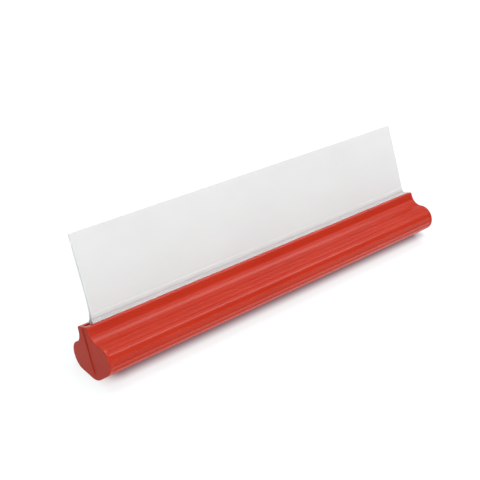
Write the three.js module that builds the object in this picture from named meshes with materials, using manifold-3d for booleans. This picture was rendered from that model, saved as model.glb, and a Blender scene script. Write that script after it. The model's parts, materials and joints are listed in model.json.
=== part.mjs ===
// Silicone-blade squeegee: a hollow two-shell plastic handle with a flexible blade clamped in its neck.
//
// Section coordinates, used for every outline: "across" is positive towards the rear shell, and "up" is 0
// at the top of the neck and positive along the blade. x runs along the handle from its left end.
// The squeegee rests on the rear flank of its underside, so the whole section leans back.
import * as THREE from 'three';
import { mergeVertices } from 'three/addons/utils/BufferGeometryUtils.js';
import Module from 'manifold-3d';

const degrees = THREE.MathUtils.degToRad;

// ---- driving dimensions, in millimetres and degrees ----
const handleLength = 305;
const lean = degrees(20.5);            // how far the blade leans back at rest
const gap = 0.3;                       // clearance between neighbouring pieces

// outer section of the handle: neck, hollow waist, round shoulders, shallow V underside
const neckHalfWidth = 6.3;
const lipRadius = 1.4;                 // rounded outer edge on top of the neck
const neckStraight = 2.2;
const waistRadius = 9;
const waistTurn = degrees(82);
const shoulderRadius = 9.8;
const flankTurn = Math.PI / 2 - lean;  // the rear flank lies flat on the ground
const keelRadius = 15;                 // round keel between the two flanks

// grip flutes: shallow grooves between convex ribs, running along the handle
const fluteStart = 20.5;               // first groove, measured along the section from the lip
const flutePitch = 3.7;
const fluteCount = 6;
const fluteDepth = 0.45;
const fluteMargin = 2.2;               // plain band left at each end of the handle

// shells
const wall = 2.4;
const endWall = 3.2;
const endDraft = degrees(1);           // mould draft of the end faces, away from the parting plane
const seamRibHeight = 0.6;             // low rib along the parting line of each end face
const seamRibHalfWidth = 0.55;
const seamRibTop = -0.2;
const seamRibFoot = -31.8;
const cavityTop = -17.2;
const stiffenerThickness = 1.6;

// blade
const bladeLength = 291.2;
const bladeShift = 1.8;                // the blade is pushed towards the right end of its channel
const bladeReach = 56.3;               // from the top of the neck to the wiping edge
const bladeSag = 0.6;                  // rearward droop of the wiping edge
const hingeHeight = 3.5;               // the blade flexes about a line just above its foot
const rootHalf = 1.5;                  // half thickness in the slot and just above the foot
const footHalf = 3.2;                  // wide foot that lies on the neck's two lips
const footShoulder = 0.5;              // the foot slopes in from here to the thinner blade
const step = { up: 5, half: 1.1 };     // the blade steps down to this half thickness
const edgeHalf = 0.7;                  // half thickness at the wiping edge
const beadHalf = 3;
const beadTop = -10;
const beadBottom = -15.2;
const channelInset = 4.4;              // each end of the blade's channel, from the end of the handle
const stepRun = 0.35;                  // height over which the blade narrows at the step
const flexRange = degrees(40);
const socketSteps = 12;                // segments of the flap's round end and of the socket it sits in

// screws, from the rear shell into the front shell
const screwCount = 6;
const screwInset = 27;                 // first and last screw, from the ends of the handle
const screwUp = -22.8;
const headSeat = 9;                    // from the parting plane to the face under each head
const headRadius = 2.9;
const headHeight = 2.2;
const headSide = 1.1;                  // straight side of the head, below its crown
const crownRadius = 1.6;               // flat top of the head
const recessHalfLength = 1.7;
const recessHalfWidth = 0.35;
const recessDepth = 1.1;
const shankRadius = 1.5;
const screwLength = 17;
const pointLength = 2.5;
const pointRadius = 0.3;
const counterboreRadius = 3.7;
const rearBossRadius = 5.4;
const frontBossRadius = 4.2;

// locating pegs of the front shell, in sockets of the rear shell
const pegRadius = 2;
const pegInset = 40;
const pegLength = 4;
const pegWall = 1.6;

// cutting shapes run past the face that they open, and full-width ones run clear of the whole section
const past = 1;
const clear = 60;
const roundSegments = 28;

const wasm = await Module();
wasm.setup();

// ---- section outline: tangent arcs and lines, from the lip to the keel, on the rear half ----
function sectionPieces(inset) {
  const waistCentre = new THREE.Vector2(neckHalfWidth + waistRadius, -neckStraight);
  const waist = waistRadius + inset;
  const shoulderAway = new THREE.Vector2(Math.cos(waistTurn), Math.sin(waistTurn));
  const shoulderCentre = waistCentre.clone().addScaledVector(shoulderAway, -waistRadius - shoulderRadius);
  const shoulder = shoulderRadius - inset;
  const keel = keelRadius - inset;
  const flankAway = new THREE.Vector2(Math.cos(flankTurn), -Math.sin(flankTurn));
  const flankTop = shoulderCentre.clone().addScaledVector(flankAway, shoulder);
  const flankLength = (flankTop.x - keel * flankAway.x) / Math.sin(flankTurn);
  const flankFoot = new THREE.Vector2(keel * flankAway.x, flankTop.y - flankLength * Math.cos(flankTurn));
  const keelCentre = new THREE.Vector2(0, flankFoot.y - keel * flankAway.y);
  const side = neckHalfWidth - inset;
  const lipCentre = new THREE.Vector2(neckHalfWidth - lipRadius, -lipRadius);
  return [
    { centre: lipCentre, radius: lipRadius - inset, from: Math.PI / 2, to: 0 },
    { start: new THREE.Vector2(side, -lipRadius), end: new THREE.Vector2(side, -neckStraight) },
    { centre: waistCentre, radius: waist, from: Math.PI, to: Math.PI + waistTurn },
    { centre: shoulderCentre, radius: shoulder, from: waistTurn, to: -flankTurn },
    { start: flankTop, end: flankFoot },
    { centre: keelCentre, radius: keel, from: -flankTurn, to: -Math.PI / 2 },
  ];
}

function pieceLength(piece) {
  return piece.start ? piece.start.distanceTo(piece.end) : piece.radius * Math.abs(piece.to - piece.from);
}

// Point and outward normal at one distance along the section.
function sectionAt(pieces, distance) {
  let left = distance;
  const last = pieces[pieces.length - 1];
  const piece = pieces.find((candidate) => {
    const inside = candidate === last || left <= pieceLength(candidate);
    if (!inside) left -= pieceLength(candidate);
    return inside;
  });
  const share = Math.min(left / pieceLength(piece), 1);
  if (piece.start) {
    const along = piece.end.clone().sub(piece.start).normalize();
    return {
      point: piece.start.clone().lerp(piece.end, share),
      normal: new THREE.Vector2(-along.y, along.x),
    };
  }
  const angle = piece.from + (piece.to - piece.from) * share;
  const away = new THREE.Vector2(Math.cos(angle), Math.sin(angle));
  const turn = piece.to > piece.from ? -1 : 1;
  const point = piece.centre.clone().addScaledVector(away, piece.radius);
  return { point, normal: away.multiplyScalar(turn) };
}

// The rear half of the section as points, with every joint between pieces included.
function sectionPoints(inset) {
  const largestTurn = degrees(7);
  const points = [];
  for (const piece of sectionPieces(inset)) {
    const steps = piece.start ? 1 : Math.ceil(Math.abs(piece.to - piece.from) / largestTurn);
    for (let i = 0; i <= steps; i += 1) {
      const point = sectionAt([piece], (pieceLength(piece) * i) / steps).point;
      if (!points.length || point.distanceTo(points[points.length - 1]) > 1e-6) points.push(point);
    }
  }
  return points;
}

const outerPieces = sectionPieces(0);

function fluteDepthAt(distance) {
  return fluteDepth * (1 - Math.abs(Math.sin((Math.PI * (distance - fluteStart)) / flutePitch)));
}

// ---- solids ----
function toSolid(geometry) {
  const bare = geometry.clone();
  bare.deleteAttribute('normal');
  bare.deleteAttribute('uv');
  const merged = mergeVertices(bare, 1e-5);
  return new wasm.Manifold(new wasm.Mesh({
    numProp: 3,
    vertProperties: new Float32Array(merged.attributes.position.array),
    triVerts: new Uint32Array(merged.index.array),
  }));
}

function toGeometry(solid) {
  const mesh = solid.getMesh();
  const geometry = new THREE.BufferGeometry();
  geometry.setAttribute('position', new THREE.BufferAttribute(mesh.vertProperties, 3));
  geometry.setIndex(new THREE.BufferAttribute(mesh.triVerts, 1));
  return geometry;
}

// A closed outline in (across, up), extruded from x = from to x = to.
const sectionToSpace = new THREE.Matrix4().makeBasis(
  new THREE.Vector3(0, 1, 0),
  new THREE.Vector3(0, 0, 1),
  new THREE.Vector3(1, 0, 0),
);

function alongHandle(points, from, to) {
  const outline = new THREE.Shape(points);
  const geometry = new THREE.ExtrudeGeometry(outline, { depth: to - from, bevelEnabled: false });
  return geometry.applyMatrix4(sectionToSpace).translate(from, 0, 0);
}

function block(x, across, up) {
  const geometry = new THREE.BoxGeometry(x[1] - x[0], across[1] - across[0], up[1] - up[0]);
  return toSolid(geometry.translate((x[0] + x[1]) / 2, (across[0] + across[1]) / 2, (up[0] + up[1]) / 2));
}

// A round bar that runs across the handle, from one distance across to another.
function crossBar(x, radius, from, to) {
  const geometry = new THREE.CylinderGeometry(radius, radius, Math.abs(to - from), roundSegments);
  return toSolid(geometry.translate(x, (from + to) / 2, screwUp));
}

const screwPlaces = Array.from({ length: screwCount }, (_, i) => (
  screwInset + (i * (handleLength - 2 * screwInset)) / (screwCount - 1)
));
const stiffenerPlaces = screwPlaces.slice(1).map((x, i) => (x + screwPlaces[i]) / 2);
const pegPlaces = [pegInset, handleLength - pegInset];
const bladeFrom = (handleLength - bladeLength) / 2 + bladeShift;
const bladeTo = bladeFrom + bladeLength;

// side is 1 for the rear shell and -1 for the front shell
function halfOutline(inset, side, parting) {
  const points = sectionPoints(inset).filter((point) => point.x > parting + 1e-3);
  const bottom = sectionPoints(inset).at(-1).y;
  points.unshift(new THREE.Vector2(parting, points[0].y));
  points.push(new THREE.Vector2(parting, bottom));
  return points.map((point) => new THREE.Vector2(point.x * side, point.y));
}

function fluteCutter(side) {
  const first = fluteStart - flutePitch / 2;
  const last = first + fluteCount * flutePitch;
  const stepsPerFlute = 8;
  const steps = fluteCount * stepsPerFlute;
  const grooved = [];
  const open = [];
  for (let i = 0; i <= steps; i += 1) {
    const distance = first + ((last - first) * i) / steps;
    const { point, normal } = sectionAt(outerPieces, distance);
    const floor = point.clone().addScaledVector(normal, -fluteDepthAt(distance));
    const outside = point.clone().addScaledVector(normal, past);
    grooved.push(new THREE.Vector2(floor.x * side, floor.y));
    open.unshift(new THREE.Vector2(outside.x * side, outside.y));
  }
  return toSolid(alongHandle([...grooved, ...open], fluteMargin, handleLength - fluteMargin));
}

// The slanted slice that the draft takes off one end face of a shell.
function draftCutter(side, atLeftEnd) {
  const fall = clear * Math.tan(endDraft);
  const outline = new THREE.Shape([
    new THREE.Vector2(-past, -past),
    new THREE.Vector2(seamRibHeight, -past),
    new THREE.Vector2(seamRibHeight, seamRibHalfWidth),
    new THREE.Vector2(seamRibHeight + fall, clear),
    new THREE.Vector2(-past, clear),
  ]);
  const geometry = new THREE.ExtrudeGeometry(outline, { depth: clear, bevelEnabled: false });
  let solid = toSolid(geometry.translate(0, 0, past - clear));
  if (side < 0) solid = solid.mirror([0, 1, 0]);
  if (!atLeftEnd) solid = solid.mirror([1, 0, 0]).translate([handleLength, 0, 0]);
  return solid;
}

function seamRib(side, atLeftEnd) {
  const x = atLeftEnd ? [0, endWall] : [handleLength - endWall, handleLength];
  const across = side > 0 ? [gap / 2, seamRibHalfWidth] : [-seamRibHalfWidth, -gap / 2];
  return block(x, across, [seamRibFoot, seamRibTop]);
}

// The space inside one shell, open at the parting plane.
function cavity(side) {
  const points = sectionPoints(wall).filter((point) => point.y < cavityTop && point.x > 0);
  const bottom = sectionPoints(wall).at(-1).y;
  const outline = [
    new THREE.Vector2(-past, cavityTop),
    new THREE.Vector2(points[0].x, cavityTop),
    ...points,
    new THREE.Vector2(-past, bottom),
  ];
  const mirrored = outline.map((point) => new THREE.Vector2(point.x * side, point.y));
  return toSolid(alongHandle(mirrored, endWall, handleLength - endWall));
}

// The slot that the blade leaves by, and the wider pocket that holds its bead.
function bladeChannel(side) {
  const x = [channelInset, handleLength - channelInset];
  const across = (half) => (side > 0 ? [-past, half + gap] : [-half - gap, past]);
  const slot = block(x, across(rootHalf), [beadBottom, past]);
  const pocket = block(x, across(beadHalf), [beadBottom - gap, beadTop + gap]);
  return slot.add(pocket);
}

function shell(side) {
  const parting = gap / 2;
  let body = toSolid(alongHandle(halfOutline(0, side, parting), 0, handleLength));
  body = body.subtract(fluteCutter(side));
  for (const atLeftEnd of [true, false]) body = body.subtract(draftCutter(side, atLeftEnd));
  for (const atLeftEnd of [true, false]) body = body.add(seamRib(side, atLeftEnd));
  body = body.subtract(cavity(side));

  const inside = toSolid(alongHandle(halfOutline(wall / 2, side, parting), endWall, handleLength - endWall));
  const bossRadius = side > 0 ? rearBossRadius : frontBossRadius;
  const stiffenerHalf = stiffenerThickness / 2;
  const posts = [
    ...screwPlaces.map((x) => crossBar(x, bossRadius, parting * side, clear * side)),
    ...pegPlaces.map((x) => crossBar(x, pegRadius + pegWall, parting * side, clear * side)),
    ...stiffenerPlaces.map((x) => (
      block([x - stiffenerHalf, x + stiffenerHalf], [-clear, clear], [-clear, cavityTop + past])
    )),
  ];
  for (const post of posts) body = body.add(post.intersect(inside));
  body = body.subtract(bladeChannel(side));
  return side > 0 ? drillRearShell(body) : finishFrontShell(body);
}

function drillRearShell(body) {
  let drilled = body;
  for (const x of screwPlaces) {
    drilled = drilled.subtract(crossBar(x, shankRadius + gap, -past, headSeat + past));
    drilled = drilled.subtract(crossBar(x, counterboreRadius, headSeat, clear));
  }
  for (const x of pegPlaces) drilled = drilled.subtract(crossBar(x, pegRadius + gap, -past, pegLength + gap));
  return drilled;
}

function finishFrontShell(body) {
  let finished = body;
  const tip = headSeat + gap - screwLength;
  for (const x of screwPlaces) finished = finished.subtract(crossBar(x, shankRadius + gap, past, tip - gap));
  for (const x of pegPlaces) finished = finished.add(crossBar(x, pegRadius, -past, pegLength));
  return finished;
}

// ---- blade ----
function arcPoints(centre, radius, from, to, steps) {
  return Array.from({ length: steps + 1 }, (_, i) => {
    const angle = from + ((to - from) * i) / steps;
    return new THREE.Vector2(centre.x + radius * Math.cos(angle), centre.y + radius * Math.sin(angle));
  });
}

// The clamped part of the blade: foot, web and bead, with a hollow top that clears the flexing part.
function bladeRoot() {
  const hinge = new THREE.Vector2(0, hingeHeight);
  const socket = arcPoints(hinge, rootHalf + gap, flexRange - Math.PI, -flexRange, socketSteps);
  const outline = [
    ...socket,
    new THREE.Vector2(footHalf, footShoulder),
    new THREE.Vector2(footHalf, gap),
    new THREE.Vector2(rootHalf, gap),
    new THREE.Vector2(rootHalf, beadTop),
    new THREE.Vector2(beadHalf, beadTop),
    new THREE.Vector2(beadHalf, beadBottom),
    new THREE.Vector2(-beadHalf, beadBottom),
    new THREE.Vector2(-beadHalf, beadTop),
    new THREE.Vector2(-rootHalf, beadTop),
    new THREE.Vector2(-rootHalf, gap),
    new THREE.Vector2(-footHalf, gap),
    new THREE.Vector2(-footHalf, footShoulder),
  ];
  return alongHandle(outline, bladeFrom, bladeTo);
}

// The free part of the blade: a round end in the socket, one step, a gentle taper and a slight droop.
function bladeFlap() {
  const taperSteps = 10;
  const taperFrom = step.up + stepRun;
  const rising = [[step.up, rootHalf], [taperFrom, step.half]];
  for (let i = 1; i <= taperSteps; i += 1) {
    const share = i / taperSteps;
    rising.push([
      THREE.MathUtils.lerp(taperFrom, bladeReach, share),
      THREE.MathUtils.lerp(step.half, edgeHalf, share),
    ]);
  }
  const droop = (up) => bladeSag * (Math.max(up - hingeHeight, 0) / (bladeReach - hingeHeight)) ** 2;
  const rear = rising.map(([up, half]) => new THREE.Vector2(droop(up) + half, up));
  const front = rising.map(([up, half]) => new THREE.Vector2(droop(up) - half, up)).reverse();
  const roundEnd = arcPoints(new THREE.Vector2(0, hingeHeight), rootHalf, -Math.PI, 0, socketSteps);
  return alongHandle([...roundEnd, ...rear, ...front], bladeFrom, bladeTo);
}

// ---- screw: pan head with a cross recess, plain shank and a pointed tip ----
function screw(x) {
  const seat = headSeat + gap;
  const crown = seat + headHeight;
  const tip = seat - screwLength;
  const profile = [
    new THREE.Vector2(0, tip),
    new THREE.Vector2(pointRadius, tip),
    new THREE.Vector2(shankRadius, tip + pointLength),
    new THREE.Vector2(shankRadius, seat),
    new THREE.Vector2(headRadius, seat),
  ];
  const crownSteps = 3;
  for (let i = 0; i <= crownSteps; i += 1) {
    const angle = (Math.PI / 2) * (i / crownSteps);
    profile.push(new THREE.Vector2(
      crownRadius + (headRadius - crownRadius) * Math.cos(angle),
      seat + headSide + (headHeight - headSide) * Math.sin(angle),
    ));
  }
  profile.push(new THREE.Vector2(0, crown));
  let solid = toSolid(new THREE.LatheGeometry(profile, roundSegments).translate(x, 0, screwUp));
  const across = [crown - recessDepth, crown + past];
  const lengths = [recessHalfLength, recessHalfWidth];
  for (const [alongX, alongUp] of [lengths, [...lengths].reverse()]) {
    const slot = block([x - alongX, x + alongX], across, [screwUp - alongUp, screwUp + alongUp]);
    solid = solid.subtract(slot);
  }
  return solid;
}

// ---- materials and assembly ----
function redPlastic() {
  return new THREE.MeshStandardMaterial({ color: 0xc8321f, roughness: 0.38, metalness: 0 });
}

function silicone() {
  return new THREE.MeshStandardMaterial({ color: 0xe2e3e2, roughness: 0.5, metalness: 0 });
}

function zincSteel() {
  return new THREE.MeshStandardMaterial({ color: 0xa9acad, roughness: 0.35, metalness: 1 });
}

function named(name, geometry, material) {
  const mesh = new THREE.Mesh(geometry, material);
  mesh.name = name;
  return mesh;
}

const squeegee = new THREE.Group();
squeegee.add(named('handle_front_shell', toGeometry(shell(-1)), redPlastic()));
squeegee.add(named('handle_rear_shell', toGeometry(shell(1)), redPlastic()));
squeegee.add(named('blade_root', bladeRoot(), silicone()));
squeegee.add(named('blade_flap', bladeFlap(), silicone()));
screwPlaces.forEach((x, i) => {
  squeegee.add(named(`shell_screw_${i + 1}`, toGeometry(screw(x)), zincSteel()));
});

// The section leans back about the handle's length, and the lowest point of the rear flank is at z = 0.
// The origin is at the middle of the bounding box, on the ground.
squeegee.rotation.x = -lean;
const group = new THREE.Group();
group.add(squeegee);
group.updateMatrixWorld(true);
const bounds = new THREE.Box3().setFromObject(group, true);
const middle = bounds.getCenter(new THREE.Vector3());
group.position.set(-middle.x, -middle.y, -bounds.min.z);

export default group;
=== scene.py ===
"""Silicone-blade squeegee: the looks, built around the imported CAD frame.

The handle's shells, the blade and the screws are modelled in section space, in millimetres: x runs along the
handle from its left end, "across" is positive towards the rear shell, and "up" is 0 at the top of the neck.
place() then puts each mesh in the frame, in metres.
"""

import json
import math

import bmesh
import bpy
from mathutils import Matrix, Vector, noise


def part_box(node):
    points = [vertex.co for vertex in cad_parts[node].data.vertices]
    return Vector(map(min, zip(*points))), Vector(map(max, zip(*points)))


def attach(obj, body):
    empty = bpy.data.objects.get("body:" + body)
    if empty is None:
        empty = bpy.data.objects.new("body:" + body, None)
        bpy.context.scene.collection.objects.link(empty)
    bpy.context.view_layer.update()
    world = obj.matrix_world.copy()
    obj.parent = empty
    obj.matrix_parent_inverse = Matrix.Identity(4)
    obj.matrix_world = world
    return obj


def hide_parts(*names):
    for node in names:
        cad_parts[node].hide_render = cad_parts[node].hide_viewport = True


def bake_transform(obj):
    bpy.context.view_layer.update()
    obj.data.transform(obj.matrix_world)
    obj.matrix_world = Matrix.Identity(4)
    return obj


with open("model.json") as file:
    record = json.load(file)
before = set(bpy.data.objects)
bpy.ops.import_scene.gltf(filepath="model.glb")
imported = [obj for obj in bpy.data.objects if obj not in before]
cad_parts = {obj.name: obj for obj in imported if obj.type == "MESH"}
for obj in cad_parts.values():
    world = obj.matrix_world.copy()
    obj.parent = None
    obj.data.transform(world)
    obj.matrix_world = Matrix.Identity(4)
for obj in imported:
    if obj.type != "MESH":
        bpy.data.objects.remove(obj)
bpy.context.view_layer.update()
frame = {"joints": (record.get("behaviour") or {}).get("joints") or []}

MM = 0.001
CORNERS = ((-1, -1), (1, -1), (1, 1), (-1, 1))

# ---- the frame: where section space lies ----
LEAN = math.radians(20.5)              # the whole section leans back
HINGE_HEIGHT = 3.5                     # the blade's joint is this far above the neck
UP = Vector((0, math.sin(LEAN), math.cos(LEAN)))
REAR = Vector((0, math.cos(LEAN), -math.sin(LEAN)))
HINGE = Vector(frame["joints"][0]["pos_m"])
NECK_TOP = HINGE - UP * HINGE_HEIGHT * MM
LEFT_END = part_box("handle_front_shell")[0].x
RIGHT_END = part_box("handle_front_shell")[1].x
HANDLE_LENGTH = (RIGHT_END - LEFT_END) / MM
BLADE_FROM = (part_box("blade_flap")[0].x - LEFT_END) / MM
BLADE_TO = (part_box("blade_flap")[1].x - LEFT_END) / MM

# ---- section of the handle, in millimetres ----
NECK_HALF = 6.3
LIP_RADIUS = 1.4
NECK_STRAIGHT = 2.2                    # the neck's side is straight down to here
WAIST_RADIUS = 9.0
WAIST_TURN = math.radians(82)
SHOULDER_RADIUS = 9.8
FLANK_TURN = math.pi / 2 - LEAN        # the rear flank lies flat on the floor
KEEL_RADIUS = 15.0

# ---- grip flutes: distances are along the section, from the start of the lip's arc ----
FLUTE_START = 20.5
FLUTE_PITCH = 3.7
FLUTE_COUNT = 6
FLUTE_DEPTH = 0.42
FLUTE_SOFTNESS = 0.08                  # how round the ridge between two flutes is
FLUTE_FLATNESS = 3.0                   # how flat a flute is between its ridges
FIRST_FLUTE = 0.3                      # depth of the flute next to the waist, as a share of the others
FLUTE_MARGIN = 2.0                     # plain band at each end of the handle
FLUTE_FADE = 1.4

# ---- shells ----
FRONT_SIDE, REAR_SIDE = -1, 1
PARTING = 0.04                         # half of the hairline between the shells
PARTING_BREAK = 0.22                   # rounded edge along the parting line
WALL = 2.4
END_WALL = 3.2
END_DRAFT = math.tan(math.radians(1))
END_ROUNDING = 0.45
RIB_HEIGHT = 0.6                       # seam rib on the end faces
RIB_HALF = 0.55
RIB_ROUNDING = 0.15
RIB_TOP = -0.25
RIB_FOOT = -31.8
RIB_TOP_SLOPE = 0.65                   # the rib rises from the end face over these lengths
RIB_FOOT_SLOPE = 2.5
CAVITY_TOP = -17.2
SLOT_HALF = 1.65
SLOT_INSET = 2.6                       # each end of the slot, from the end of the handle
SLOT_BREAK = 0.25
POCKET_HALF = 3.3                      # the pocket holds the blade's bead
POCKET_TOP = -9.7
POCKET_BOTTOM = -15.5
STIFFENER = 1.6                        # thickness of the ribs between the screws
OVERLAP = 1.0                          # how far a cutter or an inner part reaches past the face that it meets
FAR = 60.0                             # past the whole section, for cutters

# ---- screws and locating pegs ----
SCREW_COUNT = 6
SCREW_INSET = 27.0
SCREW_UP = -22.8
SCREW_LENGTH = 17.0
HEAD_SEAT = 9.0
HEAD_GAP = 0.3
HEAD_RADIUS = 2.9
HEAD_HEIGHT = 2.2
HEAD_BREAK = 0.2
HEAD_RIM = 0.9                         # height of the head's side, below its dome
HEAD_FLAT = 0.45                       # the dome ends at this share of the head's radius
HEAD_CENTRE = 0.4
SHANK_RADIUS = 1.5
PLAIN_SHARE = 0.82                     # plain shank below the head, as a share of the shank's radius
PLAIN_FROM = 1.1                       # it lies between these depths below the head
PLAIN_TO = 0.15
THREAD_TOP = 1.2                       # the thread ends this far below the head
THREAD_PITCH = 1.1
THREAD_HALF = 0.28                     # half width of the thread's ridge, as a share of the pitch
THREAD_CORE = 0.68                     # the core and the ridge's height, as shares of the shank's radius
THREAD_HEIGHT = 0.3
TIP_SHARE = 0.08                       # the thread shrinks to this share of its radius towards the tip
TIP_LENGTH = 3.0
TIP_RADIUS = 0.05
RECESS_LONG = 1.65                     # half length and half width of the cross recess
RECESS_SHORT = 0.33
RECESS_DEPTH = 1.3
RECESS_ABOVE = 0.3                     # the cutter ends this far above the crown
RECESS_FLOOR_SHARE = 0.62              # size of the recess at its floor and at the cutter's top
RECESS_TOP_SHARE = 1.05
COUNTERBORE_RADIUS = 3.7
BORE_GAP = 0.3
PILOT_GAP = 0.2
END_GAP = 0.3                          # free depth past a screw's tip and past a peg
REAR_BOSS = 5.4
FRONT_BOSS = 4.2
PEG_RADIUS = 2.0
PEG_WALL = 1.6
PEG_INSET = 40.0
PEG_LENGTH = 4.0
PEG_GAP = 0.15

# ---- blade ----
BLADE_REACH = 56.3
BLADE_SAG = 0.6
ROOT_HALF = 1.5
FOOT_HALF = 3.2                        # wide foot that lies on the neck's two lips
FOOT_GAP = 0.04
FOOT_SHOULDER = 0.45
FOOT_BREAK = 0.1
FOOT_ROUNDING = 0.2
FOOT_SLOPE = math.radians(45)
FOOT_FILLET = 0.9                      # hollow between the foot's slope and the blade
STEP_UP = 5.0                          # the blade steps down here
STEP_HALF = 1.25
STEP_RUN = 0.8
EDGE_HALF = 0.7
EDGE_BREAK = 0.3
BEAD_HALF = 3.0
BEAD_TOP = -10.0
BEAD_BOTTOM = -15.2
BEAD_BREAK = 0.3
BLADE_END_ROUNDING = 0.45
SPREAD_RUN = 14.0                      # length of the blade's ends that isn't cut straight
LEFT_SPREAD = 1.85                     # the left end leans out towards its foot
LEFT_SPREAD_RISE = 6.0
RIGHT_SPREAD = 2.0                     # only the foot sticks out at the right end
RIGHT_SPREAD_FROM = 0.6
RIGHT_SPREAD_RISE = 0.7
WAVE = 0.22                            # faint waves of the free sheet
WAVE_LENGTH = 70.0
WAVE_RISE = 60.0
WAVE_SEED = 3.1

# ---- how fine the meshes are ----
ROUNDING_STEPS = 4
BLADE_END_STEPS = 3
FILLET_STEPS = 8
DOME_STEPS = 8
STEP_ROWS = 6
THREAD_ROWS = 110
SCREW_SEGMENTS = 40
BORE_SEGMENTS = 48
COUNTERBORE_SEGMENTS = 64
ARC_SPACING = 0.2                      # between the rows of the skin
FLANK_SPACING = 0.3
LINE_SPACING = 0.8
ROOT_ROWS = (-8.0, -6.0, -4.0, -2.0, -0.4)
FOOT_ROW_GAP = 0.4                     # from the foot to the next row of the blade
FREE_FROM = 7.0                        # the free sheet has even rows from here
BLADE_SPACING = 1.25
SKIN_STATIONS = 36
BLADE_STATIONS = 96
FADE_STATIONS = (1.2, 2.0, 2.4, 2.8, 3.1, 3.4, 4.5, 7.0)   # in from the end face, close where the flutes fade
LAST_STATION_GAP = 1.5
BREAK_MIDDLE = 0.3                     # middle point of a broken edge, as a share of the break

# ---- materials: colours are linear, heights and insets are in millimetres ----
CLOUD_RANGE = (0.3, 0.7)               # noise values that are spread over a material's own range
DRAWN_RANGE = (0.25, 0.75)
NOISE_ROUGHNESS = 0.55
RED_SHADES = (0.442, 0.023, 0.008), (0.480, 0.031, 0.011)
RED_ROUGHNESS = (0.20, 0.28)
END_FACE_ROUGHNESS = 0.35              # added on the end faces
END_FACE_EASE = (1.6, 0.9)             # it starts and is full this far in from the end of the handle
SILICONE_SHADES = (0.78, 0.775, 0.765), (0.81, 0.805, 0.795)
SILICONE_ROUGHNESS = (0.42, 0.52)
FOOT_SHADE_COLOUR = (0.62, 0.58, 0.57)  # painted shade over the foot, tinted by red light from the neck
FOOT_SHADE_SHARE = 0.8
FOOT_SHADE_START = (0.5, 1.0)
FOOT_SHADE_END = (3.4, 2.0)
PAINTED_RIM_LIGHT_COLOUR = (0.95, 0.97, 0.97)        # painted highlight on the foot's lower edge, and painted light on the shaded left end of the blade
FOOT_RIM_HIGHLIGHT = (0.8, 0.4)
LEFT_END_LIGHT = (0.6, 0.2)
LEFT_END_LIGHT_RISE = (4.0, 12.0)
ZINC_SHADES = (0.50, 0.52, 0.55), (0.66, 0.67, 0.66)
ZINC_ROUGHNESS = (0.26, 0.42)
MIX_SHARE, MIX_FIRST, MIX_SECOND, MIX_RESULT = 0, 6, 7, 2   # places of a colour mix's sockets

# ---- studio, in metres ----
FLOOR_HALF = 8.0
FLOOR_COLOUR = (0.24, 0.28, 0.29, 1)
NEAR_GLOW = 0.78                       # the floor glows more far away, where the lights don't reach
FAR_GLOW = 1.0
GLOW_FROM, GLOW_TO = 0.3, 1.7
UNDER_GLOW = 0.08                      # share of the glow that is left in the shade below the handle
# pink of the painted shadow below the handle: painted red light thrown off the handle
UNDER_SHADOW_RED_BOUNCE = (1, 0.5, 0.62)
UNDER_FRONT = -0.006
UNDER_REAR = 0.012
UNDER_FADE = 0.0145
UNDER_END = 0.006
ROOM_COLOUR = (0.96, 0.98, 1, 1)
ROOM_FRONT = 0.06                      # brightness of the room low in front
ROOM_REAR = 0.6                        # brightness of the backdrop behind
ROOM_TOP = 0.25                        # added overhead
ROOM_HORIZON = 0.4                     # added at the horizon
ROOM_REAR_EASE = (-0.1, 0.9)           # where each of them starts and is full, along a direction's Y or Z
ROOM_TOP_EASE = (0.45, 0.95)
ROOM_HORIZON_EASE = (0.3, 0.0)
CAMERA_AZIMUTH = math.radians(-40.67)
CAMERA_ELEVATION = math.radians(27.51)
CAMERA_DISTANCE = 0.59
CAMERA_AIM = Vector((-0.01483, 0.01672, 0.04158))
CAMERA_LENS = 62.83


def smooth_step(value):
    value = min(max(value, 0.0), 1.0)
    return value * value * (3 - 2 * value)


# ---- section outline ----
def section_pieces():
    """Half of the outer section, from the lip to the keel, as arcs (centre, radius, from, to) and lines."""
    waist = Vector((NECK_HALF + WAIST_RADIUS, -NECK_STRAIGHT))
    away = Vector((math.cos(WAIST_TURN), math.sin(WAIST_TURN)))
    shoulder = waist - away * (WAIST_RADIUS + SHOULDER_RADIUS)
    flank_away = Vector((math.cos(FLANK_TURN), -math.sin(FLANK_TURN)))
    flank_top = shoulder + flank_away * SHOULDER_RADIUS
    flank_length = (flank_top.x - KEEL_RADIUS * flank_away.x) / math.sin(FLANK_TURN)
    flank_foot = Vector((KEEL_RADIUS * flank_away.x, flank_top.y - flank_length * math.cos(FLANK_TURN)))
    keel = Vector((0, flank_foot.y - KEEL_RADIUS * flank_away.y))
    keel_end = -math.acos((PARTING + PARTING_BREAK) / KEEL_RADIUS)
    lip = Vector((NECK_HALF - LIP_RADIUS, -LIP_RADIUS))
    return [
        ("line", Vector((PARTING + PARTING_BREAK, 0)), Vector((lip.x, 0))),
        ("arc", lip, LIP_RADIUS, math.pi / 2, 0),
        ("line", Vector((NECK_HALF, -LIP_RADIUS)), Vector((NECK_HALF, -NECK_STRAIGHT))),
        ("arc", waist, WAIST_RADIUS, math.pi, math.pi + WAIST_TURN),
        ("arc", shoulder, SHOULDER_RADIUS, WAIST_TURN, -FLANK_TURN),
        ("line", flank_top, flank_foot),
        ("arc", keel, KEEL_RADIUS, -FLANK_TURN, keel_end),
    ]


def piece_length(piece):
    if piece[0] == "line":
        return (piece[2] - piece[1]).length
    return piece[2] * abs(piece[4] - piece[3])


def point_on(piece, share):
    """Point and outward normal at a share of the way along one piece."""
    if piece[0] == "line":
        along = (piece[2] - piece[1]).normalized()
        return piece[1].lerp(piece[2], share), Vector((-along.y, along.x))
    angle = piece[3] + (piece[4] - piece[3]) * share
    away = Vector((math.cos(angle), math.sin(angle)))
    return piece[1] + away * piece[2], away * (-1 if piece[4] > piece[3] else 1)


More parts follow.
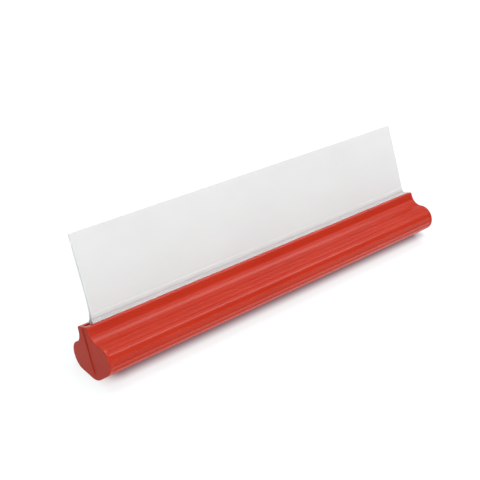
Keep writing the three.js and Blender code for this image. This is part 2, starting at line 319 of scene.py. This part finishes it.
def row_spacing(piece, distance):
    """Rows are close on the arcs, a little wider on the flank, and wide on the neck's short lines."""
    if piece[0] == "arc":
        return ARC_SPACING
    return FLANK_SPACING if distance > FLUTE_START else LINE_SPACING


def flute_depth(distance):
    """Depth of the grip flutes at a distance along the section."""
    turns = (distance - FLUTE_START) / FLUTE_PITCH
    if not -0.5 <= turns <= FLUTE_COUNT - 0.5:
        return 0.0
    across = 2 * abs(turns - round(turns))
    ridge = 1 - math.sqrt((1 - across) ** 2 + FLUTE_SOFTNESS ** 2) + FLUTE_SOFTNESS
    depth = FLUTE_DEPTH * (FIRST_FLUTE if turns < 0.5 else 1.0)
    return depth * (1 - max(ridge, 0.0) ** FLUTE_FLATNESS)


def parting_edge(centre, from_angle):
    """Rows round a broken edge of the parting plane: a quarter turn, clockwise."""
    rows = []
    for i in range(ROUNDING_STEPS + 1):
        angle = from_angle - (math.pi / 2) * i / ROUNDING_STEPS
        away = Vector((math.cos(angle), math.sin(angle)))
        rows.append((centre + away * PARTING_BREAK, away, 0.0, False))
    return rows


def section_rows():
    """Half of the section as rows (point, normal, flute depth, slides), closed by the parting plane's edges.
    A row that doesn't slide stays in its place across when the outline shrinks at the ends."""
    pieces = section_pieces()
    rows = parting_edge(Vector((PARTING + PARTING_BREAK, -PARTING_BREAK)), math.pi)[:-1]
    distance = -piece_length(pieces[0])
    for piece in pieces:
        length = piece_length(piece)
        count = max(2, round(length / row_spacing(piece, distance)))
        for i in range(count):
            point, normal = point_on(piece, i / count)
            rows.append((point, normal, flute_depth(distance + length * i / count), True))
        distance += length
    bottom, _ = point_on(pieces[-1], 1)
    return rows + parting_edge(bottom + Vector((0, PARTING_BREAK)), -math.pi / 2)


SECTION = section_rows()


# ---- meshes in section space ----
def mesh_object(name, verts, faces):
    mesh = bpy.data.meshes.new(name)
    mesh.from_pydata([tuple(v) for v in verts], [], faces)
    mesh.update()
    obj = bpy.data.objects.new(name, mesh)
    bpy.context.scene.collection.objects.link(obj)
    return obj


def outward(obj):
    """Makes every face of a closed mesh point out."""
    build = bmesh.new()
    build.from_mesh(obj.data)
    bmesh.ops.recalc_face_normals(build, faces=build.faces)
    build.to_mesh(obj.data)
    build.free()
    return obj


def loft(name, rings):
    """A closed solid through rings of equally many points."""
    count = len(rings[0])
    verts = [v for ring in rings for v in ring]
    faces = []
    for i in range(len(rings) - 1):
        for j in range(count):
            k = (j + 1) % count
            faces.append((i * count + j, i * count + k, (i + 1) * count + k, (i + 1) * count + j))
    faces.append(tuple(range(count)))
    faces.append(tuple((len(rings) - 1) * count + j for j in range(count)))
    return outward(mesh_object(name, verts, faces))


def prism(name, outline, x_from, x_to):
    """An outline in (across, up) drawn out along the handle."""
    return loft(name, [[(x, across, up) for across, up in outline] for x in (x_from, x_to)])


def block(name, x, across, up):
    corners = [(across[0], up[0]), (across[1], up[0]), (across[1], up[1]), (across[0], up[1])]
    return prism(name, corners, x[0], x[1])


def ring_round(x, across, radii):
    """A ring of even steps round an axis that runs across the handle at the height of the screws."""
    ring = []
    for i, radius in enumerate(radii):
        angle = 2 * math.pi * i / len(radii)
        ring.append((x + radius * math.cos(angle), across, SCREW_UP + radius * math.sin(angle)))
    return ring


def cross_bar(name, x, radius, across_from, across_to, segments=BORE_SEGMENTS):
    """A round bar on such an axis."""
    return loft(name, [ring_round(x, across, [radius] * segments) for across in (across_from, across_to)])


def rounded_end(radius, steps):
    """Stations of a rounded end as (distance in from the face, inset of the outline)."""
    angles = [(math.pi / 2) * (1 - i / steps) for i in range(steps + 1)]
    return [(radius * (1 - math.sin(angle)), radius * (1 - math.cos(angle))) for angle in angles]


def settle(obj):
    """Applies the object's modifiers to its mesh."""
    graph = bpy.context.evaluated_depsgraph_get()
    mesh = bpy.data.meshes.new_from_object(obj.evaluated_get(graph))
    old = obj.data
    obj.modifiers.clear()
    obj.data = mesh
    bpy.data.meshes.remove(old)


def combine(obj, tool, operation):
    """Cuts, joins or intersects obj with tool, and uses tool up."""
    modifier = obj.modifiers.new(operation, "BOOLEAN")
    modifier.operation = operation
    modifier.solver = "MANIFOLD"
    modifier.object = tool
    settle(obj)
    bpy.data.objects.remove(tool)


def place(obj):
    """Moves a mesh from section space into the frame."""
    basis = Matrix((
        (MM, 0, 0, LEFT_END),
        (0, REAR.y * MM, UP.y * MM, NECK_TOP.y),
        (0, REAR.z * MM, UP.z * MM, NECK_TOP.z),
        (0, 0, 0, 1),
    ))
    obj.data.transform(basis)
    obj.data.update()
    return obj


def shade(obj, sharp_angle):
    for polygon in obj.data.polygons:
        polygon.use_smooth = True
    obj.data.set_sharp_from_angle(angle=math.radians(sharp_angle))
    modifier = obj.modifiers.new("flat faces shade flat", "WEIGHTED_NORMAL")
    modifier.keep_sharp = True
    return obj


# ---- handle shells ----
def skin_outline(inset, fade):
    """The half section shrunk by inset, with a share of the flutes' depth."""
    outline = []
    for point, normal, depth, slides in SECTION:
        shift = normal * (depth * fade + inset)
        if not slides:
            shift.x = 0.0
        outline.append(point - shift)
    return outline


def end_face(across):
    """How far the drafted end face lies in from the end of the handle."""
    return RIB_HEIGHT + max(across - RIB_HALF, 0.0) * END_DRAFT


def outer_skin(name, side):
    """Half of the outer surface, with the same drafted and rounded end at the left and at the right."""
    stations = rounded_end(END_ROUNDING, ROUNDING_STEPS) + [(distance, 0.0) for distance in FADE_STATIONS]
    left = []
    for distance, inset in stations:
        fade = smooth_step((distance + RIB_HEIGHT - FLUTE_MARGIN) / FLUTE_FADE)
        left.append([(end_face(p.x) + distance, p.x * side, p.y) for p in skin_outline(inset, fade)])
    right = [[(HANDLE_LENGTH - x, across, up) for x, across, up in ring] for ring in reversed(left)]
    start = FADE_STATIONS[-1] + LAST_STATION_GAP
    middle = []
    for i in range(SKIN_STATIONS + 1):
        x = start + (HANDLE_LENGTH - 2 * start) * i / SKIN_STATIONS
        middle.append([(x, p.x * side, p.y) for p in skin_outline(0.0, 1.0)])
    return loft(name, left + middle + right)


def half_outline(side, inset, top):
    """The half section shrunk by inset, cut off above top, as points (across, up)."""
    points = []
    for point, normal, _, slides in SECTION:
        moved = point - normal * inset
        if slides and moved.y < top:
            points.append((moved.x * side, moved.y))
    closing = -OVERLAP * side
    return [(closing, points[0][1]), *points, (closing, points[-1][1])]


def seam_rib(side, at_left):
    """Half of the low rib along the parting line of an end face, with a rounded crest."""
    profile = [(PARTING, -OVERLAP), (PARTING, RIB_HEIGHT)]
    for drop, inset in rounded_end(RIB_ROUNDING, ROUNDING_STEPS):
        profile.append((RIB_HALF - inset, RIB_HEIGHT - drop))
    profile.append((RIB_HALF, -OVERLAP))
    rings = []
    for up, sunk in (
        (RIB_TOP, RIB_HEIGHT),
        (RIB_TOP - RIB_TOP_SLOPE, 0.0),
        (RIB_FOOT + RIB_FOOT_SLOPE, 0.0),
        (RIB_FOOT, RIB_HEIGHT),
    ):
        ring = []
        for across, height in profile:
            out = RIB_HEIGHT - (height - sunk if height > 0 else height)
            ring.append((out if at_left else HANDLE_LENGTH - out, across * side, up))
        rings.append(ring)
    return loft("seam_rib", rings)


SCREW_PLACES = [
    SCREW_INSET + i * (HANDLE_LENGTH - 2 * SCREW_INSET) / (SCREW_COUNT - 1) for i in range(SCREW_COUNT)
]
STIFFENER_PLACES = [(a + b) / 2 for a, b in zip(SCREW_PLACES, SCREW_PLACES[1:])]
PEG_PLACES = [PEG_INSET, HANDLE_LENGTH - PEG_INSET]


def inner_posts(side):
    """The bosses, peg bosses and stiffening ribs inside one shell, before they are cut to its inside."""
    across = (PARTING * side, FAR * side)
    boss = REAR_BOSS if side == REAR_SIDE else FRONT_BOSS
    posts = [cross_bar("boss", x, boss, *across) for x in SCREW_PLACES]
    posts += [cross_bar("peg_boss", x, PEG_RADIUS + PEG_WALL, *across) for x in PEG_PLACES]
    half = STIFFENER / 2
    up = (-FAR, CAVITY_TOP + OVERLAP)
    return posts + [block("stiffener", (x - half, x + half), across, up) for x in STIFFENER_PLACES]


def blade_channel(obj, side):
    """Cuts the slot that the blade leaves by, with broken edges, and the pocket of its bead."""
    x = (SLOT_INSET, HANDLE_LENGTH - SLOT_INSET)
    middle = BREAK_MIDDLE * SLOT_BREAK
    slot = [
        (-OVERLAP * side, POCKET_BOTTOM),
        (side * SLOT_HALF, POCKET_BOTTOM),
        (side * SLOT_HALF, -SLOT_BREAK),
        (side * (SLOT_HALF + middle), -middle),
        (side * (SLOT_HALF + SLOT_BREAK), 0.0),
        (side * (SLOT_HALF + SLOT_BREAK), OVERLAP),
        (-OVERLAP * side, OVERLAP),
    ]
    combine(obj, prism("slot", slot, *x), "DIFFERENCE")
    pocket = (-OVERLAP * side, side * POCKET_HALF)
    combine(obj, block("pocket", x, pocket, (POCKET_BOTTOM, POCKET_TOP)), "DIFFERENCE")


def rear_fastenings(obj):
    """Cuts the screws' bores with their counterbores, and the pegs' sockets."""
    for x in SCREW_PLACES:
        bore = cross_bar("bore", x, SHANK_RADIUS + BORE_GAP, -OVERLAP, HEAD_SEAT + OVERLAP)
        combine(obj, bore, "DIFFERENCE")
        counterbore = cross_bar("counterbore", x, COUNTERBORE_RADIUS, HEAD_SEAT, FAR, COUNTERBORE_SEGMENTS)
        combine(obj, counterbore, "DIFFERENCE")
    for x in PEG_PLACES:
        socket = cross_bar("socket", x, PEG_RADIUS + PEG_GAP, -OVERLAP, PEG_LENGTH + END_GAP)
        combine(obj, socket, "DIFFERENCE")


def front_fastenings(obj):
    """Cuts the screws' pilot holes, and adds the pegs."""
    tip = HEAD_SEAT + HEAD_GAP - SCREW_LENGTH
    for x in SCREW_PLACES:
        combine(obj, cross_bar("pilot", x, SHANK_RADIUS + PILOT_GAP, OVERLAP, tip - END_GAP), "DIFFERENCE")
    for x in PEG_PLACES:
        combine(obj, cross_bar("peg", x, PEG_RADIUS, -OVERLAP, PEG_LENGTH), "UNION")


def shell(name, side):
    """One half of the handle: a hollow skin with inner posts, the blade's channel and the fastenings."""
    obj = outer_skin(name, side)
    for at_left in (True, False):
        combine(obj, seam_rib(side, at_left), "UNION")
    hollow = prism("cavity", half_outline(side, WALL, CAVITY_TOP), END_WALL, HANDLE_LENGTH - END_WALL)
    combine(obj, hollow, "DIFFERENCE")
    half_wall = half_outline(side, WALL / 2, 0.0)
    for post in inner_posts(side):
        inside = prism("inside", half_wall, END_WALL / 2, HANDLE_LENGTH - END_WALL / 2)
        combine(post, inside, "INTERSECT")
        combine(obj, post, "UNION")
    blade_channel(obj, side)
    if side == REAR_SIDE:
        rear_fastenings(obj)
    else:
        front_fastenings(obj)
    return obj


# ---- blade ----
def blade_half(up):
    """Half thickness of the blade at a height above its foot."""
    if up > STEP_UP + STEP_RUN:
        share = (up - STEP_UP - STEP_RUN) / (BLADE_REACH - STEP_UP - STEP_RUN)
        return STEP_HALF + (EDGE_HALF - STEP_HALF) * share
    return ROOT_HALF + (STEP_HALF - ROOT_HALF) * smooth_step((up - STEP_UP) / STEP_RUN)


def foot_rows():
    """The blade's foot in (half thickness, up): underside, side, rounded corner, slope and hollow."""
    corner = Vector((FOOT_HALF, FOOT_SHOULDER))
    slope = Vector((-math.cos(FOOT_SLOPE), math.sin(FOOT_SLOPE)))
    rows = [(ROOT_HALF, FOOT_GAP), (FOOT_HALF - FOOT_BREAK, FOOT_GAP), (FOOT_HALF, FOOT_GAP + FOOT_BREAK)]
    for away in (Vector((0, -0.7)), Vector((-0.21, 0.21)), slope):     # round the corner
        rows.append(tuple(corner + away * FOOT_ROUNDING))
    centre_half = ROOT_HALF + FOOT_FILLET
    start_half = centre_half - FOOT_FILLET * math.cos(FOOT_SLOPE)
    start_up = FOOT_SHOULDER + FOOT_HALF - start_half
    centre_up = start_up + FOOT_FILLET * math.sin(FOOT_SLOPE)
    for i in range(FILLET_STEPS + 1):
        angle = math.pi + FOOT_SLOPE * (1 - i / FILLET_STEPS)
        rows.append((centre_half + FOOT_FILLET * math.cos(angle), centre_up + FOOT_FILLET * math.sin(angle)))
    return rows


def blade_side():
    """The rear face in (half thickness, up), from the bead to the wiping edge."""
    foot = foot_rows()
    side = [
        (BEAD_HALF - BEAD_BREAK, BEAD_BOTTOM),
        (BEAD_HALF, BEAD_BOTTOM + BEAD_BREAK),
        (BEAD_HALF, BEAD_TOP - BEAD_BREAK),
        (BEAD_HALF - BEAD_BREAK, BEAD_TOP),
        (ROOT_HALF + BEAD_BREAK, BEAD_TOP),
        (ROOT_HALF, BEAD_TOP + BEAD_BREAK),
    ]
    side += [(ROOT_HALF, up) for up in ROOT_ROWS] + foot
    heights = [foot[-1][1] + FOOT_ROW_GAP, STEP_UP - STEP_RUN]
    heights += [STEP_UP + STEP_RUN * i / STEP_ROWS for i in range(STEP_ROWS + 1)]
    free_rows = round((BLADE_REACH - FREE_FROM) / BLADE_SPACING)
    free_length = BLADE_REACH - EDGE_BREAK - FREE_FROM
    heights += [FREE_FROM + free_length * i / free_rows for i in range(free_rows + 1)]
    side += [(blade_half(up), up) for up in heights]
    middle = BREAK_MIDDLE * EDGE_BREAK
    return side + [(EDGE_HALF - middle, BLADE_REACH - middle), (EDGE_HALF - EDGE_BREAK, BLADE_REACH)]


def blade_stations():
    """Stations along the blade as (x, inset of the outline), with rounded ends."""
    ends = rounded_end(BLADE_END_ROUNDING, BLADE_END_STEPS)
    start = BLADE_FROM + BLADE_END_ROUNDING
    length = BLADE_TO - BLADE_FROM - 2 * BLADE_END_ROUNDING
    stations = [(BLADE_FROM + distance, inset) for distance, inset in ends]
    stations += [(start + length * i / BLADE_STATIONS, 0.0) for i in range(1, BLADE_STATIONS)]
    return stations + [(BLADE_TO - distance, inset) for distance, inset in reversed(ends)]


def end_spread(x, up):
    """How far a point near the blade's ends lies off a straight cut."""
    if x < BLADE_FROM + SPREAD_RUN:
        share = math.exp(-max(up, 0) / LEFT_SPREAD_RISE)
        return -LEFT_SPREAD * share * (1 - smooth_step((x - BLADE_FROM) / SPREAD_RUN))
    if x > BLADE_TO - SPREAD_RUN:
        share = math.exp(-max(up - RIGHT_SPREAD_FROM, 0) / RIGHT_SPREAD_RISE)
        return RIGHT_SPREAD * share * (1 - smooth_step((BLADE_TO - x) / SPREAD_RUN))
    return 0.0


def blade_middle(x, up):
    """Where the middle of the sheet lies across: it sags to the rear, and it waves a little."""
    sag = BLADE_SAG * (max(up - HINGE_HEIGHT, 0) / (BLADE_REACH - HINGE_HEIGHT)) ** 2
    share = max(up, 0) / BLADE_REACH
    return sag + WAVE * share ** 2 * noise.noise(Vector((x / WAVE_LENGTH, up / WAVE_RISE, WAVE_SEED)))


def blade():
    """The whole blade: its outline runs up the rear face, over the edge and down the front face."""
    rear = blade_side()
    outline = [(half, up, REAR_SIDE) for half, up in rear]
    outline += [(half, up, FRONT_SIDE) for half, up in reversed(rear)]
    rings = []
    for x, inset in blade_stations():
        ring = []
        for half, up, side in outline:
            across = blade_middle(x, up) + side * (half - inset)
            ring.append((x + end_spread(x, up), across, min(up, BLADE_REACH - inset)))
        rings.append(ring)
    return loft("silicone_blade", rings)


# ---- screws ----
def thread_radius(across, tip, turn):
    """Radius of the pointed, threaded shank at a place across and a share of a turn."""
    phase = (across / THREAD_PITCH - turn) % 1.0
    ridge = max(0.0, 1 - abs(phase - 0.5) / THREAD_HALF)
    taper = TIP_SHARE + (1 - TIP_SHARE) * smooth_step((across - tip) / TIP_LENGTH)
    return SHANK_RADIUS * (THREAD_CORE + THREAD_HEIGHT * ridge) * taper


def thread_rings(x, tip):
    rings = []
    for step in range(1, THREAD_ROWS):
        across = tip + (SCREW_LENGTH - THREAD_TOP) * step / THREAD_ROWS
        radii = [thread_radius(across, tip, i / SCREW_SEGMENTS) for i in range(SCREW_SEGMENTS)]
        rings.append(ring_round(x, across, radii))
    return rings


def head_profile(seat):
    """The plain shank below the head, and the domed head, as (radius, across)."""
    profile = [
        (SHANK_RADIUS * PLAIN_SHARE, seat - PLAIN_FROM),
        (SHANK_RADIUS * PLAIN_SHARE, seat - PLAIN_TO),
        (SHANK_RADIUS, seat),
        (HEAD_RADIUS - HEAD_BREAK, seat),
        (HEAD_RADIUS, seat + HEAD_BREAK),
        (HEAD_RADIUS, seat + HEAD_RIM),
    ]
    for i in range(1, DOME_STEPS + 1):
        angle = (math.pi / 2) * i / DOME_STEPS
        radius = HEAD_RADIUS * (HEAD_FLAT + (1 - HEAD_FLAT) * math.cos(angle))
        profile.append((radius, seat + HEAD_RIM + (HEAD_HEIGHT - HEAD_RIM) * math.sin(angle)))
    return profile + [(HEAD_CENTRE, seat + HEAD_HEIGHT)]


def recess_arm(x, crown, long_x, long_up):
    """One arm of the cross recess, wider at the top."""
    rings = []
    for above, share in ((-RECESS_DEPTH, RECESS_FLOOR_SHARE), (RECESS_ABOVE, RECESS_TOP_SHARE)):
        half_x, half_up = long_x * share, long_up * share
        rings.append([(x + i * half_x, crown + above, SCREW_UP + j * half_up) for i, j in CORNERS])
    return loft("recess", rings)


def screw(index, x):
    """A self-tapping pan-head screw with a helical thread and a cross recess."""
    seat = HEAD_SEAT + HEAD_GAP
    crown = seat + HEAD_HEIGHT
    tip = seat - SCREW_LENGTH
    rings = [ring_round(x, tip, [TIP_RADIUS] * SCREW_SEGMENTS)] + thread_rings(x, tip)
    rings += [ring_round(x, across, [radius] * SCREW_SEGMENTS) for radius, across in head_profile(seat)]
    obj = loft(f"screw_{index}", rings)
    combine(obj, recess_arm(x, crown, RECESS_LONG, RECESS_SHORT), "DIFFERENCE")
    combine(obj, recess_arm(x, crown, RECESS_SHORT, RECESS_LONG), "DIFFERENCE")
    return obj


# ---- nodes ----
def new_material(name):
    material = bpy.data.materials.new(name)
    material.use_nodes = True
    tree = material.node_tree
    return material, tree, tree.nodes["Principled BSDF"]


def add(tree, kind, **values):
    """A new node, with its sockets and its settings set by name."""
    node = tree.nodes.new(kind)
    for key, value in values.items():
        if key in node.inputs:
            node.inputs[key].default_value = value
        else:
            setattr(node, key, value)
    return node


def set_sockets(node, values):
    for name, value in values.items():
        node.inputs[name].default_value = value


def object_place(tree):
    """The place on the piece, in metres."""
    return add(tree, "ShaderNodeTexCoord").outputs["Object"]


def axis_of(tree, vector, axis):
    node = add(tree, "ShaderNodeSeparateXYZ")
    tree.links.new(vector, node.inputs["Vector"])
    return node.outputs[axis]


def placed_noise(tree, stretch, scale, detail):
    """Noise fixed to the piece, stretched along the axes."""
    mapping = add(tree, "ShaderNodeMapping", Scale=stretch)
    texture = add(tree, "ShaderNodeTexNoise", Scale=scale, Detail=detail, Roughness=NOISE_ROUGHNESS)
    tree.links.new(object_place(tree), mapping.inputs["Vector"])
    tree.links.new(mapping.outputs["Vector"], texture.inputs["Vector"])
    return texture.outputs["Fac"]


def maths(tree, kind, *values):
    """A maths node over sockets and numbers."""
    node = add(tree, "ShaderNodeMath", operation=kind)
    for socket, value in zip(node.inputs, values):
        if isinstance(value, (int, float)):
            socket.default_value = value
        else:
            tree.links.new(value, socket)
    return node.outputs["Value"]


def product(tree, first, *others):
    for other in others:
        first = maths(tree, "MULTIPLY", first, other)
    return first


def mapped(tree, value, from_range, to_range):
    node = add(tree, "ShaderNodeMapRange")
    (from_min, from_max), (to_min, to_max) = from_range, to_range
    set_sockets(node, {"From Min": from_min, "From Max": from_max, "To Min": to_min, "To Max": to_max})
    tree.links.new(value, node.inputs["Value"])
    return node.outputs["Result"]


def eased(tree, value, zero_at, one_at):
    """0 up to one place and 1 past the other, smooth between."""
    node = add(tree, "ShaderNodeMapRange", interpolation_type="SMOOTHSTEP")
    set_sockets(node, {"From Min": zero_at, "From Max": one_at})
    tree.links.new(value, node.inputs["Value"])
    return node.outputs["Result"]


def mixed(tree, share, first, second):
    """A mix of two colours, each of them a socket or a plain colour."""
    node = add(tree, "ShaderNodeMix", data_type="RGBA")
    tree.links.new(share, node.inputs[MIX_SHARE])
    for place_in, colour in ((MIX_FIRST, first), (MIX_SECOND, second)):
        if isinstance(colour, tuple):
            node.inputs[place_in].default_value = (*colour, 1)
        else:
            tree.links.new(colour, node.inputs[place_in])
    return node.outputs[MIX_RESULT]


def clouded(tree, cloud, shades):
    """A colour that drifts between two shades."""
    return mixed(tree, mapped(tree, cloud, CLOUD_RANGE, (0, 1)), *shades)


def bumped(tree, shader, layers):
    """Bumps from several heights: (height, strength, distance in metres)."""
    previous = None
    for height, strength, distance in layers:
        bump = add(tree, "ShaderNodeBump", Strength=strength, Distance=distance)
        tree.links.new(height, bump.inputs["Height"])
        if previous:
            tree.links.new(previous, bump.inputs["Normal"])
        previous = bump.outputs["Normal"]
    tree.links.new(previous, shader.inputs["Normal"])


# ---- materials ----
def red_plastic():
    """Satin moulded plastic, a little drawn along the handle, with matte end faces."""
    material, tree, shader = new_material("satin_red_plastic")
    cloud = placed_noise(tree, stretch=(0.35, 1, 1), scale=45, detail=3.0)
    drawn = placed_noise(tree, stretch=(0.04, 1, 1), scale=900, detail=4.0)
    grain = placed_noise(tree, stretch=(1, 1, 1), scale=5200, detail=2.0)
    from_middle = maths(tree, "ABSOLUTE", axis_of(tree, object_place(tree), "X"))
    at_end = eased(tree, from_middle, *(RIGHT_END - inset * MM for inset in END_FACE_EASE))
    roughness = mapped(tree, drawn, DRAWN_RANGE, RED_ROUGHNESS)
    roughness = maths(tree, "MULTIPLY_ADD", at_end, END_FACE_ROUGHNESS, roughness)
    tree.links.new(clouded(tree, cloud, RED_SHADES), shader.inputs["Base Color"])
    tree.links.new(roughness, shader.inputs["Roughness"])
    bumped(tree, shader, [(grain, 0.08, 0.06 * MM), (drawn, 0.08, 0.08 * MM)])
    set_sockets(shader, {
        "IOR": 1.46,
        "Specular IOR Level": 0.23,
        "Subsurface Weight": 0.06,
        "Subsurface Radius": (1.0, 0.25, 0.12),
        "Subsurface Scale": 1.2 * MM,
    })
    return material


def silicone():
    """Frosted silicone, with painted shade tinted by red light from the neck over its foot, and painted light
    on the foot's lower rim and at the blade's left end.
    """
    material, tree, shader = new_material("frosted_silicone")
    cloud = placed_noise(tree, stretch=(0.5, 1, 1), scale=30, detail=2.0)
    drawn = placed_noise(tree, stretch=(0.05, 1, 1), scale=1200, detail=3.0)
    grain = placed_noise(tree, stretch=(1, 1, 1), scale=3800, detail=2.0)
    where = object_place(tree)
    along_up = add(tree, "ShaderNodeVectorMath", operation="DOT_PRODUCT")
    tree.links.new(where, along_up.inputs[0])
    along_up.inputs[1].default_value = UP
    up = maths(tree, "SUBTRACT", along_up.outputs["Value"], NECK_TOP.dot(UP))

    def height_ease(heights):
        return eased(tree, up, *(height * MM for height in heights))

    # painted shade over the foot, tinted pink by red light from the neck
    foot_shade = product(tree, height_ease(FOOT_SHADE_START), height_ease(FOOT_SHADE_END), FOOT_SHADE_SHARE)
    left_edge = LEFT_END + BLADE_FROM * MM
    # painted highlight along the foot's lower edge, and painted light over the shaded left end of the blade
    left_end_light = eased(tree, axis_of(tree, where, "X"), *(left_edge + inset * MM for inset in LEFT_END_LIGHT))
    left_end_light = product(tree, left_end_light, height_ease(LEFT_END_LIGHT_RISE))
    painted_rim_light = maths(tree, "MAXIMUM", height_ease(FOOT_RIM_HIGHLIGHT), left_end_light)

    colour = clouded(tree, cloud, SILICONE_SHADES)
    colour = mixed(tree, foot_shade, colour, FOOT_SHADE_COLOUR)
    colour = mixed(tree, painted_rim_light, colour, PAINTED_RIM_LIGHT_COLOUR)
    tree.links.new(colour, shader.inputs["Base Color"])
    tree.links.new(mapped(tree, drawn, DRAWN_RANGE, SILICONE_ROUGHNESS), shader.inputs["Roughness"])
    bumped(tree, shader, [(grain, 0.06, 0.05 * MM)])
    set_sockets(shader, {
        "IOR": 1.41,
        "Transmission Weight": 0.3,
        "Subsurface Weight": 0.6,
        "Subsurface Radius": (1.0, 1.0, 1.0),
        "Subsurface Scale": 3 * MM,
    })
    return material


def zinc_steel():
    """Zinc-plated steel with faint clouds."""
    material, tree, shader = new_material("zinc_plated_steel")
    cloud = placed_noise(tree, stretch=(1, 1, 1), scale=700, detail=4.0)
    tree.links.new(clouded(tree, cloud, ZINC_SHADES), shader.inputs["Base Color"])
    tree.links.new(mapped(tree, cloud, CLOUD_RANGE, ZINC_ROUGHNESS), shader.inputs["Roughness"])
    bumped(tree, shader, [(cloud, 0.1, 0.03 * MM)])
    set_sockets(shader, {"Metallic": 1.0})
    return material


def give(obj, material):
    obj.data.materials.clear()
    obj.data.materials.append(material)


# ---- stage ----
def shade_below_handle(tree, where):
    """How far a place on the floor is in the handle's shade, from 0 to 1."""
    x, y = axis_of(tree, where, "X"), axis_of(tree, where, "Y")
    return product(
        tree,
        eased(tree, y, UNDER_FRONT - UNDER_FADE, UNDER_FRONT),
        eased(tree, y, UNDER_REAR + UNDER_FADE, UNDER_REAR),
        eased(tree, x, LEFT_END, LEFT_END + 3 * UNDER_END),
        eased(tree, x, RIGHT_END + 2 * UNDER_END, RIGHT_END),
    )


def floor():
    """White paper that glows to stay white far from the lights, with a painted shadow below the handle,
    tinted by painted red light from it.
    """
    obj = mesh_object("floor", [(i * FLOOR_HALF, j * FLOOR_HALF, 0) for i, j in CORNERS], [(0, 1, 2, 3)])
    material, tree, shader = new_material("white_floor")
    where = object_place(tree)
    length = add(tree, "ShaderNodeVectorMath", operation="LENGTH")
    tree.links.new(where, length.inputs[0])
    far = eased(tree, length.outputs["Value"], GLOW_FROM, GLOW_TO)
    under = shade_below_handle(tree, where)
    glow = maths(tree, "MULTIPLY_ADD", far, FAR_GLOW - NEAR_GLOW, NEAR_GLOW)
    glow = product(tree, glow, maths(tree, "MULTIPLY_ADD", under, UNDER_GLOW - 1, 1.0))
    # painted red light from the handle, tinting the painted shadow below it
    shadow_bounce_tint = mixed(tree, product(tree, under, under), (1, 1, 1), UNDER_SHADOW_RED_BOUNCE)
    tree.links.new(shadow_bounce_tint, shader.inputs["Emission Color"])
    tree.links.new(glow, shader.inputs["Emission Strength"])
    set_sockets(shader, {"Base Color": FLOOR_COLOUR, "Roughness": 0.9, "Specular IOR Level": 0.1})
    obj.data.materials.append(material)


def room():
    """A studio that is dark in front, lighter overhead and bright behind the object."""
    world = bpy.data.worlds.new("studio")
    world.use_nodes = True
    tree = world.node_tree
    direction = add(tree, "ShaderNodeTexCoord").outputs["Generated"]
    rearward, upward = axis_of(tree, direction, "Y"), axis_of(tree, direction, "Z")
    rear = eased(tree, rearward, *ROOM_REAR_EASE)
    top = eased(tree, upward, *ROOM_TOP_EASE)
    horizon = eased(tree, upward, *ROOM_HORIZON_EASE)
    bright = maths(tree, "MULTIPLY_ADD", rear, ROOM_REAR - ROOM_FRONT, ROOM_FRONT)
    bright = maths(tree, "MULTIPLY_ADD", top, ROOM_TOP, bright)
    bright = maths(tree, "MULTIPLY_ADD", horizon, ROOM_HORIZON, bright)
    background = tree.nodes["Background"]
    set_sockets(background, {"Color": ROOM_COLOUR})
    tree.links.new(bright, background.inputs["Strength"])
    bpy.context.scene.world = world


def softbox(name, location, aim, size, power, colour=(1, 1, 1)):
    """An area light with its first side along the handle."""
    light = bpy.data.lights.new(name, "AREA")
    light.shape = "RECTANGLE"
    light.size, light.size_y = size
    light.energy = power
    light.color = colour
    obj = bpy.data.objects.new(name, light)
    obj.location = location
    away = (Vector(location) - Vector(aim)).normalized()
    along = (Vector((1, 0, 0)) - away * away.x).normalized()
    obj.rotation_euler = Matrix((along, away.cross(along), away)).transposed().to_euler()
    bpy.context.scene.collection.objects.link(obj)


def lights():
    room()
    softbox("overhead", location=(0.38, 0.0, 1.5), aim=(0, 0, 0), size=(1.9, 0.7), power=18.5)
    softbox(
        "front_strip", location=(0.9, -0.85, 1.5), aim=(0, 0, 0.03), size=(2.2, 0.4), power=7,
        colour=(0.93, 0.95, 1),
    )
    softbox("front_fill", location=(-0.2, -1.6, 0.8), aim=(0, 0, 0.03), size=(1.2, 0.8), power=14)


def camera():
    back = Vector((
        math.sin(CAMERA_AZIMUTH) * math.cos(CAMERA_ELEVATION),
        -math.cos(CAMERA_AZIMUTH) * math.cos(CAMERA_ELEVATION),
        math.sin(CAMERA_ELEVATION),
    ))
    data = bpy.data.cameras.new("camera")
    data.lens = CAMERA_LENS
    data.sensor_width = 36.0
    data.clip_start = 0.01
    obj = bpy.data.objects.new("camera", data)
    obj.location = CAMERA_AIM + back * CAMERA_DISTANCE
    obj.rotation_euler = (-back).to_track_quat("-Z", "Y").to_euler()
    bpy.context.scene.collection.objects.link(obj)
    bpy.context.scene.camera = obj


# ---- assembly ----
camera()
floor()
lights()
bpy.context.scene.view_settings.view_transform = "Standard"

red = red_plastic()
for shell_name, cad_name, shell_side in (
    ("front_shell", "handle_front_shell", FRONT_SIDE),
    ("rear_shell", "handle_rear_shell", REAR_SIDE),
):
    piece = shade(place(shell(shell_name, shell_side)), sharp_angle=32)
    give(piece, red)
    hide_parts(cad_name)
    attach(piece, "handle")

rubber = silicone()
piece = shade(place(blade()), sharp_angle=40)
give(piece, rubber)
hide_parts("blade_root", "blade_flap")
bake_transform(piece)

steel = zinc_steel()
for number, x_place in enumerate(SCREW_PLACES, 1):
    piece = shade(place(screw(number, x_place)), sharp_angle=35)
    give(piece, steel)
    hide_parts(f"shell_screw_{number}")
    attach(piece, "handle")
